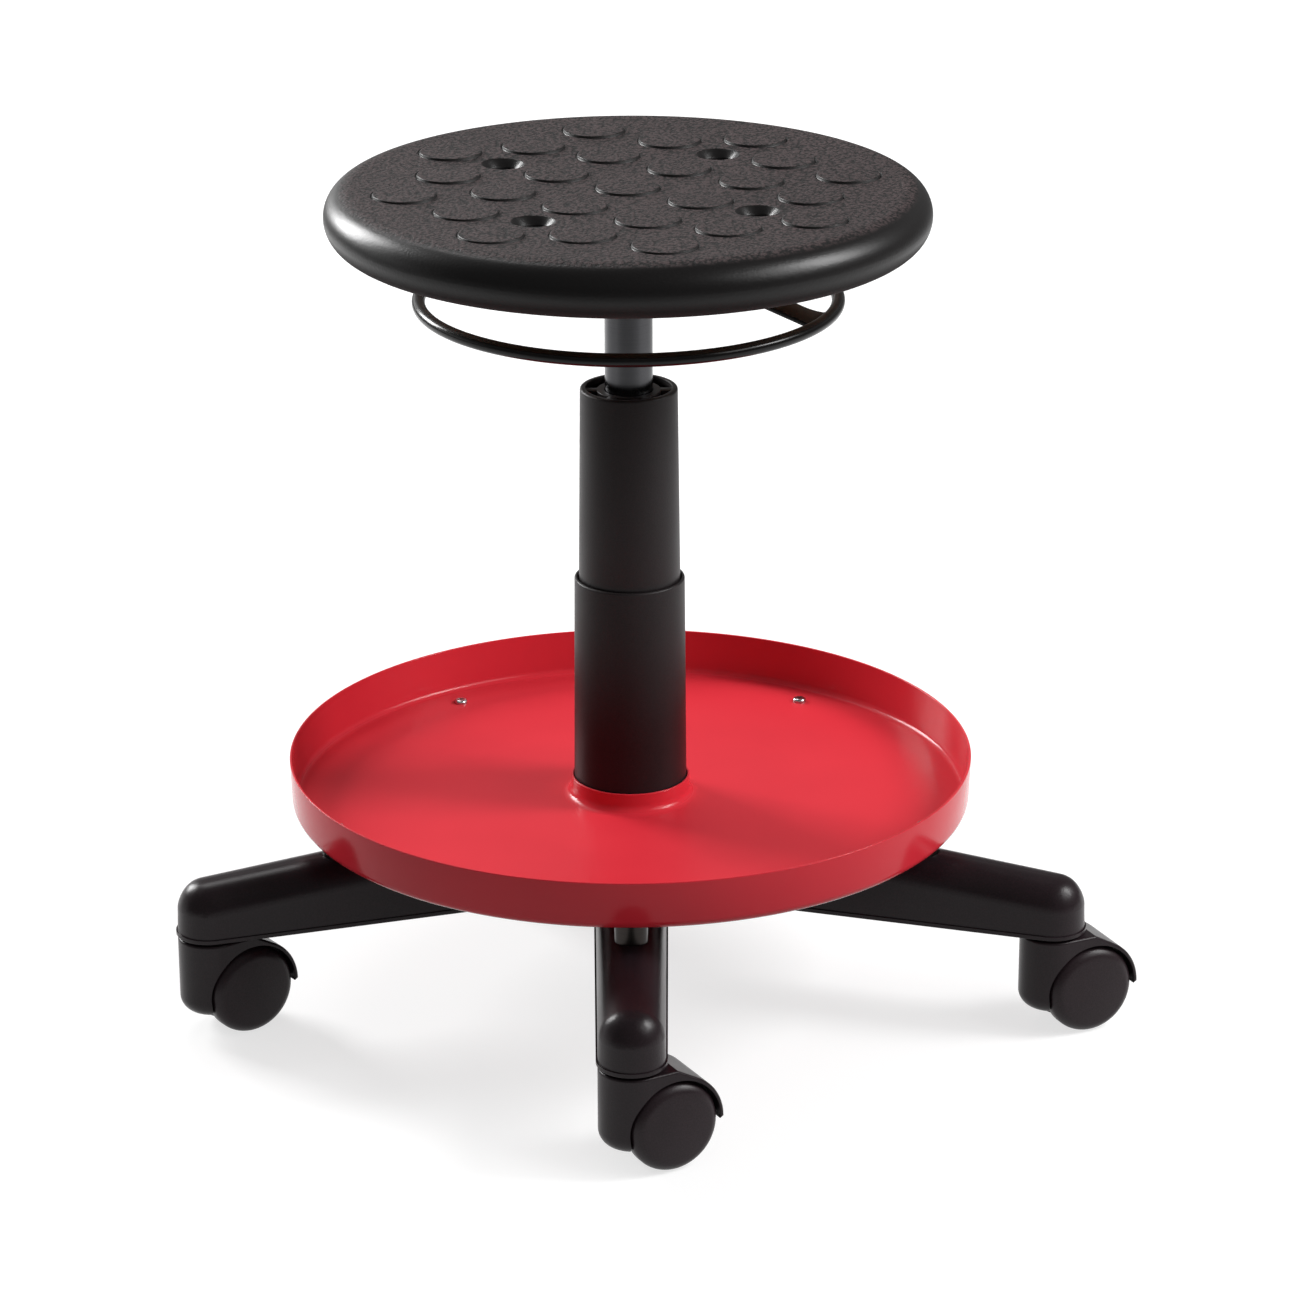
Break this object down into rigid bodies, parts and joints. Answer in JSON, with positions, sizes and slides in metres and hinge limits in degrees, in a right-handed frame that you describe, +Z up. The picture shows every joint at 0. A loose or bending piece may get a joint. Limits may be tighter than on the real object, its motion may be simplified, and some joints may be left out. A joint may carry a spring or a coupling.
{
  "type": "maintenance stool",
  "caption": "Low round work stool with a moulded seat, ring height lever, gas-lift column in telescoping covers, round tool tray and a five-legged caster base.",
  "frame": {"origin": "on the floor under the column's axis", "axes": "+Z up along the column; -Y towards the front leg; +X to the right seen from the front"},
  "size_m": [0.5658, 0.5315, 0.493],
  "materials": {
    "seat_foam": "moulded polyurethane foam skin, fine stipple on top, satin on the edge",
    "plywood": "plain plywood",
    "black_nylon": "moulded nylon, satin",
    "wheel_nylon": "moulded nylon, satin",
    "cover_plastic": "moulded polypropylene, matt",
    "red_enamel": "powder coat, gloss",
    "black_enamel": "powder coat, gloss",
    "tube_steel": "blackened steel, satin",
    "spacer_steel": "steel sleeve, dark",
    "bright_steel": "zinc plated",
    "aluminium": "turned",
    "rubber": "moulded",
    "pale_nylon": "moulded nylon"
  },
  "bodies": {
    "base": {"star_base": "black_nylon", "caster_stems": "bright_steel", "grip_rings": "bright_steel", "tool_tray": "red_enamel", "tray_spacers": "spacer_steel", "tray_screws": "bright_steel", "lower_cover": "cover_plastic", "stand_tube": "tube_steel", "guide_bush": "pale_nylon", "lower_race": "bright_steel", "bearing_balls": "bright_steel", "bearing_cage": "pale_nylon"},
    "rod": {"piston_rod": "bright_steel", "piston": "aluminium", "piston_seal": "rubber", "upper_race": "bright_steel", "rubber_buffer": "rubber", "clip_washer": "bright_steel", "retaining_clip": "bright_steel"},
    "seat": {"gas_cylinder": "tube_steel", "rod_guide": "aluminium", "rod_seal": "rubber", "valve_block": "aluminium", "taper_socket": "black_enamel", "lever_bracket": "black_enamel", "pivot_pin": "bright_steel", "mounting_plate": "black_enamel", "seat_board": "plywood", "seat_cushion": "seat_foam", "seat_screws": "bright_steel", "seat_washers": "bright_steel", "seat_nuts": "bright_steel"},
    "upper_cover": {"upper_cover": "cover_plastic"},
    "release_lever": {"release_ring": "black_enamel", "lever_bar": "black_enamel"},
    "valve": {"valve_pin": "bright_steel"},
    "caster_1": {"caster_hood_1": "black_nylon", "caster_axle_1": "bright_steel"},
    "wheel_left_1": {"wheel_left_1": "wheel_nylon"},
    "wheel_right_1": {"wheel_right_1": "wheel_nylon"},
    "caster_2": {"caster_hood_2": "black_nylon", "caster_axle_2": "bright_steel"},
    "wheel_left_2": {"wheel_left_2": "wheel_nylon"},
    "wheel_right_2": {"wheel_right_2": "wheel_nylon"},
    "caster_3": {"caster_hood_3": "black_nylon", "caster_axle_3": "bright_steel"},
    "wheel_left_3": {"wheel_left_3": "wheel_nylon"},
    "wheel_right_3": {"wheel_right_3": "wheel_nylon"},
    "caster_4": {"caster_hood_4": "black_nylon", "caster_axle_4": "bright_steel"},
    "wheel_left_4": {"wheel_left_4": "wheel_nylon"},
    "wheel_right_4": {"wheel_right_4": "wheel_nylon"},
    "caster_5": {"caster_hood_5": "black_nylon", "caster_axle_5": "bright_steel"},
    "wheel_left_5": {"wheel_left_5": "wheel_nylon"},
    "wheel_right_5": {"wheel_right_5": "wheel_nylon"}
  },
  "joints": [
    {"name": "seat_swivel", "type": "hinge", "parent": "base", "child": "rod", "pos_m": [0, 0, 0.0536], "axis": [0, 0, 1], "continuous": true},
    {"name": "seat_lift", "type": "slide", "parent": "rod", "child": "seat", "axis": [0, 0, 1], "range_m": [-0.04, 0.06]},
    {"name": "cover_slide", "type": "slide", "parent": "base", "child": "upper_cover", "axis": [0, 0, 1], "range_m": [-0.07, 0]},
    {"name": "ring_release", "type": "hinge", "parent": "seat", "child": "release_lever", "pos_m": [0.01631, -0.00761, 0.45061], "axis": [-0.4226, -0.9063, 0], "range_deg": [0, 7.5], "stiffness_Nm_per_rad": 4, "springref_deg": -11.46},
    {"name": "valve_press", "type": "slide", "parent": "seat", "child": "valve", "axis": [0, 0, 1], "range_m": [-0.0024, 0]},
    {"name": "caster_swivel_1", "type": "hinge", "parent": "base", "child": "caster_1", "pos_m": [0, -0.2601, 0.0611], "axis": [0, 0, 1], "continuous": true},
    {"name": "wheel_spin_left_1", "type": "hinge", "parent": "caster_1", "child": "wheel_left_1", "pos_m": [0.01574, -0.25137, 0.0268], "axis": [-0.4848, 0.8746, 0], "continuous": true},
    {"name": "wheel_spin_right_1", "type": "hinge", "parent": "caster_1", "child": "wheel_right_1", "pos_m": [0.01574, -0.25137, 0.0268], "axis": [-0.4848, 0.8746, 0], "continuous": true},
    {"name": "caster_swivel_2", "type": "hinge", "parent": "base", "child": "caster_2", "pos_m": [0.24737, -0.08038, 0.0611], "axis": [0, 0, 1], "continuous": true},
    {"name": "wheel_spin_left_2", "type": "hinge", "parent": "caster_2", "child": "wheel_left_2", "pos_m": [0.26367, -0.07274, 0.0268], "axis": [-0.4242, 0.9056, 0], "continuous": true},
    {"name": "wheel_spin_right_2", "type": "hinge", "parent": "caster_2", "child": "wheel_right_2", "pos_m": [0.26367, -0.07274, 0.0268], "axis": [-0.4242, 0.9056, 0], "continuous": true},
    {"name": "caster_swivel_3", "type": "hinge", "parent": "base", "child": "caster_3", "pos_m": [0.15288, 0.21043, 0.0611], "axis": [0, 0, 1], "continuous": true},
    {"name": "wheel_spin_left_3", "type": "hinge", "parent": "caster_3", "child": "wheel_left_3", "pos_m": [0.16847, 0.21943, 0.0268], "axis": [-0.5, 0.866, 0], "continuous": true},
    {"name": "wheel_spin_right_3", "type": "hinge", "parent": "caster_3", "child": "wheel_right_3", "pos_m": [0.16847, 0.21943, 0.0268], "axis": [-0.5, 0.866, 0], "continuous": true},
    {"name": "caster_swivel_4", "type": "hinge", "parent": "base", "child": "caster_4", "pos_m": [-0.15288, 0.21043, 0.0611], "axis": [0, 0, 1], "continuous": true},
    {"name": "wheel_spin_left_4", "type": "hinge", "parent": "caster_4", "child": "wheel_left_4", "pos_m": [-0.13729, 0.21943, 0.0268], "axis": [-0.5, 0.866, 0], "continuous": true},
    {"name": "wheel_spin_right_4", "type": "hinge", "parent": "caster_4", "child": "wheel_right_4", "pos_m": [-0.13729, 0.21943, 0.0268], "axis": [-0.5, 0.866, 0], "continuous": true},
    {"name": "caster_swivel_5", "type": "hinge", "parent": "base", "child": "caster_5", "pos_m": [-0.24737, -0.08038, 0.0611], "axis": [0, 0, 1], "continuous": true},
    {"name": "wheel_spin_left_5", "type": "hinge", "parent": "caster_5", "child": "wheel_left_5", "pos_m": [-0.23273, -0.0699, 0.0268], "axis": [-0.5821, 0.8131, 0], "continuous": true},
    {"name": "wheel_spin_right_5", "type": "hinge", "parent": "caster_5", "child": "wheel_right_5", "pos_m": [-0.23273, -0.0699, 0.0268], "axis": [-0.5821, 0.8131, 0], "continuous": true}
  ],
  "couplings": [
    {"joint": "valve_press", "follows": "ring_release", "m_per_rad": -0.018}
  ]
}
